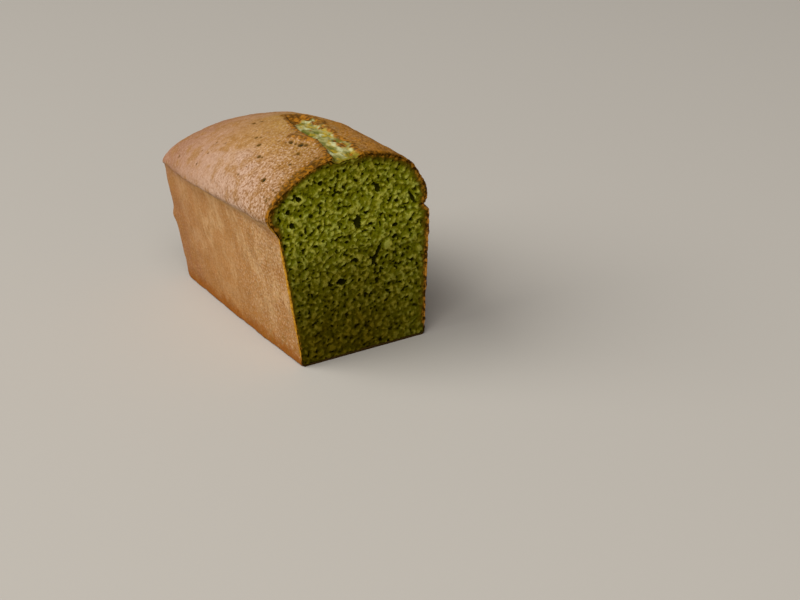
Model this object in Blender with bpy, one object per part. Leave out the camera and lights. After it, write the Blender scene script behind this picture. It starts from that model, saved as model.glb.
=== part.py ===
"""Green tea pound cake: the part of the loaf that is left behind a knife's cut, as one solid.

Metres, +Z up. The loaf stands on its flat base, and the origin is the middle of that base.
Its length runs along Y, from the cut at -Y to the baked end at +Y, and the shoulder that has
risen out over the tin's rim is at -X. The crown has torn open while baking: the tear runs
from the cut to just past the middle of the loaf.
"""
import math
from collections import namedtuple

import bmesh
import bpy
from mathutils import Matrix, Vector, noise

MM = 0.001

# The tin's inside, which moulds everything below its rim.
BASE_WIDTH = 63.4 * MM
BASE_LENGTH = 135.0 * MM  # what is left of the loaf, from the cut to the baked end
TIN_DEPTH = 62.0 * MM
WALL_LEAN = 6.2 * MM  # how far a long wall leans out between base and rim
END_LEAN = 3.0 * MM
WALL_BOW = 0.8 * MM  # how far the long walls bow out at the middle of the loaf's length
BASE_EDGE = 1.2 * MM  # radius of the long edges of the base

# The shoulders, where each wall turns into the crown: roundness 2 is an ellipse, and less
# is flatter. The right wall is pinched in where the tin's rim was.
Shoulder = namedtuple("Shoulder", "side reach height roundness pinch")
LEFT = Shoulder(side=-1, reach=42.8 * MM, height=72.6 * MM, roundness=1.75, pinch=0.0)
RIGHT = Shoulder(side=1, reach=37.2 * MM, height=67.4 * MM, roundness=2.25, pinch=2.2 * MM)
SHOULDER_FALL = 0.14  # share of its height that a shoulder loses by the baked end
PINCH_HEIGHT = 63.6 * MM
PINCH_SPREAD = 3.6 * MM
OVERHANG_LEVEL = 0.60  # share of the length over which the left shoulder stays full
OVERHANG_FADE = 0.85  # share of its overhang that is gone at the baked end

# The crown swells a little behind the cut, then falls to the baked end.
PEAK_HEIGHT = 93.7 * MM
PEAK_HEIGHT_AT_END = 74.6 * MM
CROWN_SWELL = 1.5 * MM
CROWN_SWELL_LENGTH = 90.0 * MM
CROWN_LEVEL = 0.30  # share of the length over which it doesn't fall
CROWN_FALL_POWER = 2.3

# The baked end is rounded off all round, by a quarter of an ellipse that ends on its face.
END_ROUND_ALONG = 6.5 * MM
END_ROUND_ACROSS = 5.0 * MM
END_ROUND_TOP = 14.0 * MM
END_ROUND_BASE = 3.0 * MM
SECTION_MIDDLE = 42.0 * MM  # height of the middle of a cross-section

# The tear in the crown: its middle line wanders from left of the crown to right of it.
TEAR_LENGTH = 74.0 * MM
TEAR_CLOSING = 7.0 * MM  # length over which its floor rises back to the crown
TEAR_START = -0.6 * MM
TEAR_DRIFT = 8.8 * MM
TEAR_DRIFT_LENGTH = 85.0 * MM
TEAR_HALF_WIDTH = 5.4 * MM
TEAR_WAVE = 0.6 * MM
TEAR_WAVE_LENGTH = 52.0 * MM
TEAR_RAGGED = (1.4 * MM, 6.0 * MM)  # how far its edges stray, and over what length
TEAR_FLARE = 4.0 * MM  # how much further left it opens at the cut
TEAR_FLARE_LENGTH = 5.0 * MM
TEAR_DEPTH = 1.5 * MM
TEAR_FLOOR_RELIEF = 0.8 * MM
TEAR_FLOOR_GRAIN = 4.0 * MM
LIP_LEFT = 0.8 * MM
LIP_RIGHT = 0.3 * MM
LIP_SPREAD = 5.0 * MM

# The brow: the crown stands higher between the left shoulder and the tear, at the cut.
BROW_PLACE = -17.0 * MM
BROW_HEIGHT = 1.2 * MM
BROW_ACROSS = 11.0 * MM
BROW_ALONG = 16.0 * MM

# Low relief: waves and crags of the crust, and the crumb of the cut face.
Relief = namedtuple("Relief", "height grain seed")
CRUST_WAVE = Relief(height=0.45 * MM, grain=19.0 * MM, seed=1.0)
CRUST_CRAG = Relief(height=0.30 * MM, grain=6.5 * MM, seed=3.0)
CRUMB_RELIEF = Relief(height=0.30 * MM, grain=3.2 * MM, seed=7.0)

# A drop of batter baked on to the far left corner.
DROP_HEIGHT = 34.0 * MM
DROP_RADIUS = 3.5 * MM
DROP_PROUD = 1.5 * MM

# Air holes that the knife has opened: place across and up, size across and up, lean.
AirHole = namedtuple("AirHole", "x z width height lean")
AIR_HOLES = (
    AirHole(12.0, 76.0, 2.6, 4.6, -8.0),
    AirHole(1.2, 62.2, 3.6, 7.0, 4.0),
    AirHole(-15.6, 84.0, 2.6, 2.2, 0.0),
    AirHole(-32.1, 74.1, 2.4, 2.8, 20.0),
    AirHole(-30.8, 67.6, 2.6, 3.0, -20.0),
    AirHole(9.5, 44.7, 2.2, 12.5, 29.0),
    AirHole(-9.0, 35.9, 5.2, 3.2, 10.0),
    AirHole(29.3, 67.8, 1.6, 6.0, -25.0),
    AirHole(19.8, 56.6, 3.0, 2.0, 10.0),
    AirHole(19.4, 51.2, 3.2, 2.0, -10.0),
    AirHole(-26.6, 79.0, 2.8, 2.2, 35.0),
)
AIR_HOLE_DEPTH = 2.6 * MM
HOLE_RAGGED = 0.25  # share by which a hole's wall strays from an ellipsoid
HOLE_LUMPS = 1.7  # lumps of that wall to a radius
HOLE_APART = 7.0 * MM  # holes that lie this far apart are ragged in different ways

# Bubbles that have burst through the crust beside the tear: place across and along, size.
Pit = namedtuple("Pit", "x along size")
CROWN_PITS = (
    Pit(-11.0, 28.0, 2.6),
    Pit(-12.6, 34.8, 2.2),
    Pit(-33.4, 21.2, 1.8),
    Pit(-21.8, 50.0, 1.8),
)

# The grid of the surface: columns across the crown left of, inside and right of the tear,
# rows up the walls, and stations along the length and round the baked end.
COLUMNS_LEFT = 15
COLUMNS_TEAR = 8
COLUMNS_RIGHT = 13
COLUMNS = COLUMNS_LEFT + COLUMNS_TEAR + COLUMNS_RIGHT
ROWS = 20
STATIONS_STRAIGHT = 33
STATIONS_ROUND = 5
STATIONS = STATIONS_STRAIGHT + STATIONS_ROUND
ROW_CROWDING = 0.08  # how much closer together the rows lie near base and shoulder
EDGE_SNAP = 1e-6  # how near to an edge of the grid still counts as on it
SHARP_EDGE = 50.0  # degrees from which an edge is not shaded smooth

CRUST_COLOUR = (0.43, 0.21, 0.075, 1.0)
CRUMB_COLOUR = (0.24, 0.30, 0.045, 1.0)


def blend(start, end, share):
    return start + (end - start) * share


def smooth_step(share):
    share = min(max(share, 0.0), 1.0)
    return share * share * (3.0 - 2.0 * share)


def closer_at_ends(share):
    """Spread even shares so that they lie closer together near 0 and near 1."""
    return share - ROW_CROWDING * math.sin(2.0 * math.pi * share)


def shoulder_height(shoulder, along):
    return shoulder.height * (1.0 - SHOULDER_FALL * along / BASE_LENGTH)


def peak_height(along):
    """Height of the crown's highest line at a distance from the cut."""
    fall = max(along / BASE_LENGTH - CROWN_LEVEL, 0.0) / (1.0 - CROWN_LEVEL)
    swell = math.sin(math.pi * min(along / CROWN_SWELL_LENGTH, 1.0)) ** 2
    level = PEAK_HEIGHT + CROWN_SWELL * swell
    return blend(level, PEAK_HEIGHT_AT_END, fall ** CROWN_FALL_POWER)


def shoulder_reach(shoulder, along):
    """How far a shoulder reaches out from the middle; its overhang fades at the baked end."""
    rim_reach = BASE_WIDTH / 2.0 + WALL_LEAN
    fade = smooth_step((along / BASE_LENGTH - OVERHANG_LEVEL) / (1.0 - OVERHANG_LEVEL))
    return blend(shoulder.reach, rim_reach, OVERHANG_FADE * fade)


def tear_edges(along):
    """Places across of the tear's left and right edge at a distance from the cut."""
    middle = TEAR_START + TEAR_DRIFT * smooth_step(along / TEAR_DRIFT_LENGTH)
    wave = TEAR_WAVE * math.cos(2.0 * math.pi * along / TEAR_WAVE_LENGTH)
    stray, length = TEAR_RAGGED
    left = noise.noise(Vector((along / length, 0.0, 0.0)))
    right = noise.noise(Vector((along / length, 9.0, 0.0)))
    flare = TEAR_FLARE * math.exp(-along / TEAR_FLARE_LENGTH)
    return (middle - TEAR_HALF_WIDTH - wave - flare + stray * left,
            middle + TEAR_HALF_WIDTH + wave + stray * right)


def tear_relief(x, along):
    """How far the crown stands above its smooth form: its raised lips and sunken floor."""
    left, right = tear_edges(along)
    outside = max(left - x, x - right, along - TEAR_LENGTH, 0.0)
    across = min(abs(2.0 * x - left - right) / (right - left), 1.0)
    lip = LIP_LEFT if 2.0 * x < left + right else LIP_RIGHT
    raised = lip * math.exp(-(outside / LIP_SPREAD) ** 2)
    opened = smooth_step((TEAR_LENGTH - along) / TEAR_CLOSING) * (1.0 - across ** 4)
    grain = noise.noise(Vector((x, along, 0.0)) / TEAR_FLOOR_GRAIN)
    return raised - opened * (TEAR_DEPTH + lip + TEAR_FLOOR_RELIEF * grain)


def wall_point(shoulder, share, along):
    """A point of a long wall's outline, share 0 at the base and 1 at the shoulder."""
    top = shoulder_height(shoulder, along)
    height = top * closer_at_ends(share)
    overhang = shoulder_reach(shoulder, along) - BASE_WIDTH / 2.0 - WALL_LEAN
    bow = WALL_BOW * math.sin(math.pi * along / BASE_LENGTH) * (1.0 - share)
    reach = BASE_WIDTH / 2.0 + WALL_LEAN * min(height / TIN_DEPTH, 1.0) + bow
    reach += overhang * smooth_step((height - TIN_DEPTH) / (top - TIN_DEPTH))
    pinch = max(1.0 - ((height - PINCH_HEIGHT) / PINCH_SPREAD) ** 2, 0.0)
    reach -= shoulder.pinch * pinch ** 2
    below = 1.0 - min(height / BASE_EDGE, 1.0)
    reach -= BASE_EDGE * (1.0 - math.sqrt(1.0 - below ** 2))
    return Vector((shoulder.side * reach, height))


def crown_height(x, along):
    """Height of the crown over a place across and along the loaf."""
    shoulder = LEFT if x < 0.0 else RIGHT
    across = min(abs(x) / shoulder_reach(shoulder, along), 1.0)
    rise = (1.0 - across ** shoulder.roundness) ** (1.0 / shoulder.roundness)
    foot = shoulder_height(shoulder, along)
    relief = tear_relief(x, along) * smooth_step(2.0 * rise - 1.0)
    brow = math.exp(-((x - BROW_PLACE) / BROW_ACROSS) ** 2 - (along / BROW_ALONG) ** 2)
    return blend(foot, peak_height(along), rise) + relief + BROW_HEIGHT * brow


def crown_angle(x, along):
    """Angle round the crown, 0 at the left shoulder and pi at the right, of a place across."""
    shoulder = LEFT if x < 0.0 else RIGHT
    across = abs(x) / shoulder_reach(shoulder, along)
    angle = math.acos(across ** (shoulder.roundness / 2.0))
    return angle if x < 0.0 else math.pi - angle


def crown_point(column, along):
    """A point of the crown's outline; columns count from the left shoulder to the right."""
    tear_left, tear_right = (crown_angle(edge, along) for edge in tear_edges(along))
    if column <= COLUMNS_LEFT:
        angle = blend(0.0, tear_left, column / COLUMNS_LEFT)
    elif column <= COLUMNS_LEFT + COLUMNS_TEAR:
        angle = blend(tear_left, tear_right, (column - COLUMNS_LEFT) / COLUMNS_TEAR)
    else:
        angle = blend(math.pi, tear_right, (COLUMNS - column) / COLUMNS_RIGHT)
    shoulder = LEFT if angle < math.pi / 2.0 else RIGHT
    reach = shoulder_reach(shoulder, along)
    x = shoulder.side * reach * abs(math.cos(angle)) ** (2.0 / shoulder.roundness)
    return Vector((x, crown_height(x, along)))


def outline_point(across, up, along):
    """A point of a cross-section's outline, for a point of a square's edge from -1 to 1."""
    column = (across + 1.0) / 2.0 * COLUMNS
    share_up = (up + 1.0) / 2.0
    if up > 1.0 - EDGE_SNAP:
        return crown_point(column, along)
    if across < EDGE_SNAP - 1.0:
        return wall_point(LEFT, share_up, along)
    if across > 1.0 - EDGE_SNAP:
        return wall_point(RIGHT, share_up, along)
    return wall_point(LEFT, 0.0, along).lerp(wall_point(RIGHT, 0.0, along), column / COLUMNS)


def section_point(column, row, along):
    """A point of a cross-section: ring within ring, its outline is drawn in to its middle."""
    across = 2.0 * column / COLUMNS - 1.0
    up = 2.0 * row / ROWS - 1.0
    ring = max(abs(across), abs(up))
    middle = Vector((0.0, SECTION_MIDDLE))
    if ring < EDGE_SNAP:
        return middle
    return middle.lerp(outline_point(across / ring, up / ring, along), ring)


def loaf_point(column, row, station):
    """A point of the loaf, with the baked end rounded off."""
    straight = min(station / STATIONS_STRAIGHT, 1.0)
    turn = max(station - STATIONS_STRAIGHT, 0.0) / STATIONS_ROUND * math.pi / 2.0
    x, z = section_point(column, row, straight * (BASE_LENGTH - END_ROUND_ALONG))
    length = BASE_LENGTH + END_LEAN * min(z / TIN_DEPTH, 1.0)
    y = straight * (length - END_ROUND_ALONG) + END_ROUND_ALONG * math.sin(turn)
    inset = 1.0 - math.cos(turn)
    x *= 1.0 - inset * END_ROUND_ACROSS / (BASE_WIDTH / 2.0 + WALL_LEAN)
    if z > SECTION_MIDDLE:
        z -= inset * END_ROUND_TOP * (z - SECTION_MIDDLE) / (PEAK_HEIGHT - SECTION_MIDDLE)
    else:
        z += inset * END_ROUND_BASE * (SECTION_MIDDLE - z) / SECTION_MIDDLE
    return Vector((x, y - BASE_LENGTH / 2.0, z))


def low_relief(point, relief):
    seed = Vector((relief.seed, relief.seed, relief.seed))
    return relief.height * noise.noise(point / relief.grain + seed)


def drop_relief(point):
    """The drop of batter on the far left corner."""
    corner = Vector((-(BASE_WIDTH / 2.0 + WALL_LEAN * DROP_HEIGHT / TIN_DEPTH),
                     BASE_LENGTH / 2.0, DROP_HEIGHT))
    return DROP_PROUD * math.exp(-((point - corner).length / DROP_RADIUS) ** 2)


def split_edges_along(mesh, axis, pieces):
    """Cut every edge that runs along one axis into equal pieces, and the faces with them."""
    edges = [edge for edge in mesh.edges
             if abs(edge.verts[0].co[axis] - edge.verts[1].co[axis]) > EDGE_SNAP]
    bmesh.ops.subdivide_edges(mesh, edges=edges, cuts=pieces - 1, use_grid_fill=True)


def make_material(name, colour, roughness):
    material = bpy.data.materials.new(name)
    material.use_nodes = True
    shader = material.node_tree.nodes["Principled BSDF"]
    shader.inputs["Base Color"].default_value = colour
    shader.inputs["Roughness"].default_value = roughness
    shader.inputs["Metallic"].default_value = 0.0
    material.diffuse_color = colour
    return material


def make_loaf(crust, crumb):
    """A gridded cube, drawn over the loaf's form, with its flat base as one face."""
    mesh = bmesh.new()
    bmesh.ops.create_cube(mesh, size=1.0, matrix=Matrix.Translation((0.5, 0.5, 0.5)))
    for axis, pieces in enumerate((COLUMNS, STATIONS, ROWS)):
        split_edges_along(mesh, axis, pieces)

    shares = {vert: vert.co.copy() for vert in mesh.verts}
    for vert, share in shares.items():
        column = round(share.x * COLUMNS)
        station = round(share.y * STATIONS)
        row = round(share.z * ROWS)
        vert.co = loaf_point(column, row, station)
    mesh.normal_update()

    moves = {}
    for vert, share in shares.items():
        on_cut = share.y < EDGE_SNAP
        on_rim = not (EDGE_SNAP < share.x < 1.0 - EDGE_SNAP and share.z < 1.0 - EDGE_SNAP)
        if share.z < EDGE_SNAP:
            continue
        if on_cut and not on_rim:
            moves[vert] = Vector((0.0, low_relief(vert.co, CRUMB_RELIEF), 0.0))
            continue
        height = low_relief(vert.co, CRUST_WAVE) + low_relief(vert.co, CRUST_CRAG)
        moves[vert] = vert.normal * (height + drop_relief(vert.co))
        if on_cut:
            moves[vert].y = 0.0
    for vert, move in moves.items():
        vert.co += move

    for face in mesh.faces:
        middle = sum((shares[vert] for vert in face.verts), Vector()) / len(face.verts)
        column = middle.x * COLUMNS
        on_crown = middle.z > 1.0 - EDGE_SNAP
        in_tear = on_crown and COLUMNS_LEFT < column < COLUMNS_LEFT + COLUMNS_TEAR
        open_here = middle.y * STATIONS < STATIONS_STRAIGHT * TEAR_LENGTH / BASE_LENGTH
        face.material_index = 1 if middle.y < EDGE_SNAP or (in_tear and open_here) else 0

    base = [face for face in mesh.faces
            if all(shares[vert].z < EDGE_SNAP and vert.co.z < EDGE_SNAP for vert in face.verts)]
    bmesh.ops.dissolve_faces(mesh, faces=base)
    bmesh.ops.triangulate(mesh, faces=mesh.faces)
    bmesh.ops.recalc_face_normals(mesh, faces=mesh.faces)

    data = bpy.data.meshes.new("pound_cake_loaf")
    mesh.to_mesh(data)
    mesh.free()
    data.materials.append(crust)
    data.materials.append(crumb)
    data.shade_smooth()
    data.set_sharp_from_angle(angle=math.radians(SHARP_EDGE))
    return bpy.data.objects.new("pound_cake_loaf", data)


def make_hole_cutter(name, size, lean, place, crumb):
    """A ragged ellipsoid of the given size along each axis, leaning about Y."""
    mesh = bmesh.new()
    bmesh.ops.create_icosphere(mesh, subdivisions=2, radius=1.0)
    for vert in mesh.verts:
        stray = noise.noise(vert.co * HOLE_LUMPS + place / HOLE_APART)
        vert.co *= 1.0 + HOLE_RAGGED * stray
    stretch = Matrix.Diagonal((size[0] / 2.0, size[1] / 2.0, size[2] / 2.0, 1.0))
    turn = Matrix.Rotation(math.radians(lean), 4, "Y")
    bmesh.ops.transform(mesh, matrix=turn @ stretch, verts=mesh.verts)
    data = bpy.data.meshes.new(name)
    mesh.to_mesh(data)
    mesh.free()
    data.materials.append(crumb)
    cutter = bpy.data.objects.new(name, data)
    cutter.location = place
    cutter.display_type = "WIRE"
    cutter.hide_render = True
    return cutter


def make_air_hole(name, hole, crumb):
    size = (hole.width * MM, 2.0 * AIR_HOLE_DEPTH, hole.height * MM)
    place = Vector((hole.x * MM, -BASE_LENGTH / 2.0, hole.z * MM))
    return make_hole_cutter(name, size, hole.lean, place, crumb)


def make_crown_pit(name, pit, crumb):
    x, along, size = pit.x * MM, pit.along * MM, pit.size * MM
    place = Vector((x, along - BASE_LENGTH / 2.0, crown_height(x, along)))
    return make_hole_cutter(name, (size, size, size), 0.0, place, crumb)


for leftover in list(bpy.data.objects):
    bpy.data.objects.remove(leftover, do_unlink=True)

cake = bpy.data.collections.new("pound_cake")
cutters = bpy.data.collections.new("cutters")
bpy.context.scene.collection.children.link(cake)
bpy.context.scene.collection.children.link(cutters)

crust_material = make_material("crust", CRUST_COLOUR, 0.62)
crumb_material = make_material("crumb", CRUMB_COLOUR, 0.90)

loaf = make_loaf(crust_material, crumb_material)
cake.objects.link(loaf)
for number, air_hole in enumerate(AIR_HOLES, start=1):
    cutters.objects.link(make_air_hole("air_hole_%02d" % number, air_hole, crumb_material))
for number, crown_pit in enumerate(CROWN_PITS, start=1):
    cutters.objects.link(make_crown_pit("crown_pit_%d" % number, crown_pit, crumb_material))

holes = loaf.modifiers.new("air holes", "BOOLEAN")
holes.operation = "DIFFERENCE"
holes.operand_type = "COLLECTION"
holes.collection = cutters
holes.solver = "EXACT"
holes.material_mode = "TRANSFER"

slivers = loaf.modifiers.new("close slivers", "WELD")
slivers.merge_threshold = 0.04 * MM
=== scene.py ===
import math
from collections import namedtuple

import bmesh
import bpy
import numpy as np
from mathutils import Matrix, Vector, noise


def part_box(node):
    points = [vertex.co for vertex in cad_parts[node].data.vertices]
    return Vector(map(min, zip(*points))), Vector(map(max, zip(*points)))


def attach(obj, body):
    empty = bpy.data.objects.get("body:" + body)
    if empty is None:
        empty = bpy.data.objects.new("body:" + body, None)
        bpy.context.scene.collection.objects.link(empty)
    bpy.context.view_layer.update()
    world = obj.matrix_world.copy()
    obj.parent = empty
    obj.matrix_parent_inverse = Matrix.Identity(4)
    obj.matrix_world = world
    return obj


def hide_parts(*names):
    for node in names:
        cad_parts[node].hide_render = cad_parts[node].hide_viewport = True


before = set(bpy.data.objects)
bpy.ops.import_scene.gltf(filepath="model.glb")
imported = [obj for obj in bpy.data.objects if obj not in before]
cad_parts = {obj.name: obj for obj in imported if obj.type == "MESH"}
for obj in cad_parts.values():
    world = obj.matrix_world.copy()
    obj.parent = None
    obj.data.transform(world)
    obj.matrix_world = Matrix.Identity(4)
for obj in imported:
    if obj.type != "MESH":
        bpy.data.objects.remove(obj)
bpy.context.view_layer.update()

# ---- The camera
# It looks down on the cut end and the left wall, through a long lens, from where the
# photograph was taken. Its place is in metres, its lens and sensor are in millimetres.
PHOTO_PLACE = (-0.32836, -0.73295, 0.34161)
PHOTO_RIGHT = (0.87378265, -0.48327283, -0.05432535)
PHOTO_UP = (0.23452611, 0.32088436, 0.91762232)
PHOTO_LENS = 80.38
PHOTO_SENSOR = 36.0

camera_lens = bpy.data.cameras.new("camera")
camera_lens.lens = PHOTO_LENS
camera_lens.sensor_width = PHOTO_SENSOR
camera = bpy.data.objects.new("camera", camera_lens)
camera_back = Vector(PHOTO_RIGHT).cross(Vector(PHOTO_UP))
camera_turn = Matrix((PHOTO_RIGHT, PHOTO_UP, camera_back)).transposed()
camera.matrix_world = Matrix.Translation(PHOTO_PLACE) @ camera_turn.to_4x4()
bpy.context.scene.collection.objects.link(camera)
bpy.context.scene.camera = camera

# ---- The crust
# The browned skin of the loaf: three walls and the floor moulded smooth by the tin, and a
# domed crown that has torn open. One closed body, hollowed at the cut to take the crumb.
MM = 0.001

# The mould of the tin: its walls lean outwards, and baking bowed them a little.
BASE_WIDTH = 63.4 * MM
BASE_LENGTH = 135.0 * MM
TIN_DEPTH = 62.0 * MM
WALL_LEAN = 6.2 * MM
END_LEAN = 3.0 * MM
WALL_BOW = 0.8 * MM
BASE_EDGE = 1.2 * MM

# The shoulders, where the crown meets the walls: the left one hangs over its wall near the cut,
# and the right one is pinched in below.
Shoulder = namedtuple("Shoulder", "side reach height roundness pinch")
LEFT = Shoulder(side=-1, reach=42.8 * MM, height=72.6 * MM, roundness=1.75, pinch=0.0)
RIGHT = Shoulder(side=1, reach=37.2 * MM, height=67.4 * MM, roundness=2.25, pinch=2.2 * MM)
SHOULDER_FALL = 0.14
SHOULDER_SPAN = 60.0 * MM
PINCH_HEIGHT = 63.6 * MM
PINCH_SPREAD = 3.6 * MM
OVERHANG_LEVEL = 0.60
OVERHANG_FADE = 0.85

# The crown swells behind the cut, and falls towards the baked end.
PEAK_HEIGHT = 93.7 * MM
PEAK_HEIGHT_AT_END = 74.6 * MM
CROWN_SWELL = 1.5 * MM
CROWN_SWELL_LENGTH = 90.0 * MM
CROWN_LEVEL = 0.30
CROWN_FALL_POWER = 2.3

# The rounding of the baked end, and the middle that each cross-section is drawn in to.
END_ROUND_ALONG = 6.5 * MM
END_ROUND_ACROSS = 5.0 * MM
END_ROUND_TOP = 14.0 * MM
END_ROUND_BASE = 3.0 * MM
SECTION_MIDDLE = 42.0 * MM

# The tear: it drifts to the right, wavers, flares at the cut, and closes at its far end.
TEAR_LENGTH = 74.0 * MM
TEAR_CLOSING = 7.0 * MM
TEAR_START = -0.6 * MM
TEAR_DRIFT = 8.8 * MM
TEAR_DRIFT_LENGTH = 85.0 * MM
TEAR_HALF_WIDTH = 5.4 * MM
TEAR_WAVE = 0.6 * MM
TEAR_WAVE_LENGTH = 52.0 * MM
TEAR_STRAY = 1.4 * MM
TEAR_STRAY_LENGTH = 6.0 * MM
TEAR_STRAY_SEED = 9.0
TEAR_FLARE = 4.0 * MM
TEAR_FLARE_LENGTH = 5.0 * MM
TEAR_DEPTH = 1.5 * MM
TEAR_DEPTH_RIGHT = 0.9 * MM
TEAR_SIDE_LEFT = 0.16
TEAR_SIDE_RIGHT = 0.20
LIP_LEFT = 0.8 * MM
LIP_RIGHT = 0.3 * MM
LIP_SPREAD = 5.0 * MM

# Where the crust came off beyond the edges of the tear: how far, where along, and how long.
Bared = namedtuple("Bared", "width along spread")
BARED_LEFT = Bared(width=3.2 * MM, along=44.0 * MM, spread=22.0 * MM)
BARED_RIGHT = Bared(width=2.6 * MM, along=17.0 * MM, spread=8.0 * MM)

# A brow on the left of the tear, and a slight flat on the right shoulder, both at the cut.
BROW_PLACE = -17.0 * MM
BROW_HEIGHT = 1.2 * MM
BROW_ACROSS = 11.0 * MM
BROW_ALONG = 16.0 * MM
FLAT_PLACE = 34.8 * MM
FLAT_DEPTH = 1.7 * MM
FLAT_ACROSS = 2.2 * MM
FLAT_ALONG = 14.0 * MM
FLAT_FADE = 3.0

# Fine relief: its height, the size of its grain, and the seed of its noise.
Relief = namedtuple("Relief", "height grain seed")
CRUST_WAVE = Relief(height=0.45 * MM, grain=19.0 * MM, seed=1.0)
CRUST_CRAG = Relief(height=0.30 * MM, grain=6.5 * MM, seed=3.0)
CROWN_LUMP = Relief(height=0.13 * MM, grain=2.4 * MM, seed=11.0)
CROWN_GRAIN = Relief(height=0.08 * MM, grain=1.1 * MM, seed=13.0)
WALL_GRAIN = Relief(height=0.07 * MM, grain=1.6 * MM, seed=17.0)
TEAR_LUMP = Relief(height=1.2 * MM, grain=4.0 * MM, seed=31.0)
TEAR_GRAIN = Relief(height=0.55 * MM, grain=1.5 * MM, seed=37.0)
TEAR_DRAWN_OUT = 0.6
RIM_RAGGED = Relief(height=0.75 * MM, grain=1.5 * MM, seed=19.0)
CROWN_BLEND = 7.0 * MM
RIM_ROUND = 0.4 * MM
RIM_ROUND_LENGTH = 1.6 * MM

# The drop of batter on the far left corner.
DROP_HEIGHT = 34.0 * MM
DROP_RADIUS = 3.5 * MM
DROP_PROUD = 1.5 * MM

# Burst bubbles of the crown: place across and along, radius and depth, all in millimetres.
# Each is a little longer than it is wide.
Pit = namedtuple("Pit", "x along radius depth")
CROWN_PITS = (
    Pit(-11.0, 28.0, 1.1, 1.2), Pit(-12.6, 34.8, 0.9, 1.0), Pit(-33.4, 21.2, 0.9, 1.1),
    Pit(-21.8, 50.0, 1.1, 0.6), Pit(-26.5, 40.4, 1.0, 0.7), Pit(-26.0, 38.1, 0.8, 0.5),
    Pit(-18.8, 59.8, 1.1, 0.5), Pit(-17.6, 56.8, 0.9, 0.4), Pit(-7.0, 78.3, 1.4, 0.42),
    Pit(-10.5, 79.9, 1.3, 0.4), Pit(-26.9, 76.6, 0.8, 0.4), Pit(-15.5, 21.8, 0.8, 0.7),
    Pit(-22.3, 16.3, 0.7, 0.7), Pit(-29.9, 3.2, 0.6, 0.6), Pit(-38.4, 11.3, 0.6, 0.5),
    Pit(-12.0, 31.6, 0.8, 0.6), Pit(-9.6, 25.2, 0.9, 0.8), Pit(-14.2, 37.0, 0.7, 0.5),
    Pit(4.6, 23.0, 0.9, 0.7), Pit(7.9, 18.4, 0.8, 0.7), Pit(1.6, 64.0, 1.4, 0.5),
)
PIT_LENGTH = 1.4

# Small bubbles strewn over the crown and, closer together, over its edge at the cut: between
# which places they lie, how large they are, and how far they keep from the tear, in millimetres.
PIT_SEED = 41
SMALL_PITS = 90
RIM_PITS = 120
PITS_LEFT, PITS_RIGHT, RIM_PITS_RIGHT = -40.0, 34.0, -12.0
RIM_PITS_ALONG = (0.3, 9.0)
SMALL_PITS_LENGTH = 125.0
SMALL_PITS_CROWDING = 1.3
SMALL_PIT_RADIUS = (0.4, 0.7)
SMALL_PIT_DEPTH = (0.25, 0.5)
PITS_BESIDE_TEAR, PITS_BEYOND_TEAR = 1.5, 3.0

# The fold of crust between the tear and the burst bubbles beside it. Its ends are places across
# and along, in millimetres.
FOLD_START = (-10.6, 39.0)
FOLD_END = (-5.6, 24.5)
FOLD_RADIUS = 1.9 * MM
FOLD_HEIGHT = 1.4 * MM

# Scraps of crust left standing in the tear: place across and along, and half their width and
# length, in millimetres.
Scrap = namedtuple("Scrap", "x along width length")
SCRAPS = (Scrap(3.6, 17.0, 1.9, 3.4), Scrap(8.4, 51.0, 1.7, 4.5), Scrap(7.4, 35.0, 1.0, 2.2))
SCRAP_HEIGHT = 1.0 * MM
SCRAP_COVER = 1.8

# The browned edge at the cut: its width on the walls, what the crown and the tear add to it, in
# millimetres, and where it widens.
EDGE_ON_WALL, EDGE_ON_CROWN, EDGE_BESIDE_TEAR = 0.75, 1.2, 4.2
EDGE_CROWN_LEVEL, EDGE_CROWN_RISE = 66.0 * MM, 10.0 * MM
EDGE_TEAR_START, EDGE_TEAR_RUN = -40.0 * MM, 16.0 * MM
EDGE_RIGHT_SHARE = 0.25
EDGE_NONE = -2.0

# How far the tones of the tear's surroundings and of its browned lips reach from it.
NEAR_TEAR = 13.0 * MM
LIP_REACH = 2.2 * MM

# The grid of the body: columns across, stations along and rows up, closer together where there
# is more to show, and the gap that counts as none.
COLUMNS_LEFT = 90
COLUMNS_TEAR = 34
COLUMNS_RIGHT = 76
COLUMNS = COLUMNS_LEFT + COLUMNS_TEAR + COLUMNS_RIGHT
ROWS = 84
STATIONS_STRAIGHT = 172
STATIONS_ROUND = 14
STATIONS = STATIONS_STRAIGHT + STATIONS_ROUND
STATION_CROWDING = 0.55
ROW_CROWDING = 0.08
NO_GAP = 1e-6

# The hollow behind the cut, which takes the crumb.
RIM_WIDTH = 1.25 * MM
RIM_WIDTH_RAGGED = 0.5
HOLLOW_DEPTH = 6.5 * MM


def blend(start, end, share):
    return start + (end - start) * share


def smooth_step(share):
    share = min(max(share, 0.0), 1.0)
    return share * share * (3.0 - 2.0 * share)


def bell(gap, reach):
    """1 where a gap is none, falling to 0 over a reach."""
    return math.exp(-(gap / reach) ** 2)


def closer_at_ends(share):
    return share - ROW_CROWDING * math.sin(2.0 * math.pi * share)


def shoulder_height(shoulder, along):
    return shoulder.height * (1.0 - SHOULDER_FALL * along / BASE_LENGTH)


def peak_height(along):
    fall = max(along / BASE_LENGTH - CROWN_LEVEL, 0.0) / (1.0 - CROWN_LEVEL)
    swell = math.sin(math.pi * min(along / CROWN_SWELL_LENGTH, 1.0)) ** 2
    level = PEAK_HEIGHT + CROWN_SWELL * swell
    return blend(level, PEAK_HEIGHT_AT_END, fall ** CROWN_FALL_POWER)


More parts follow.
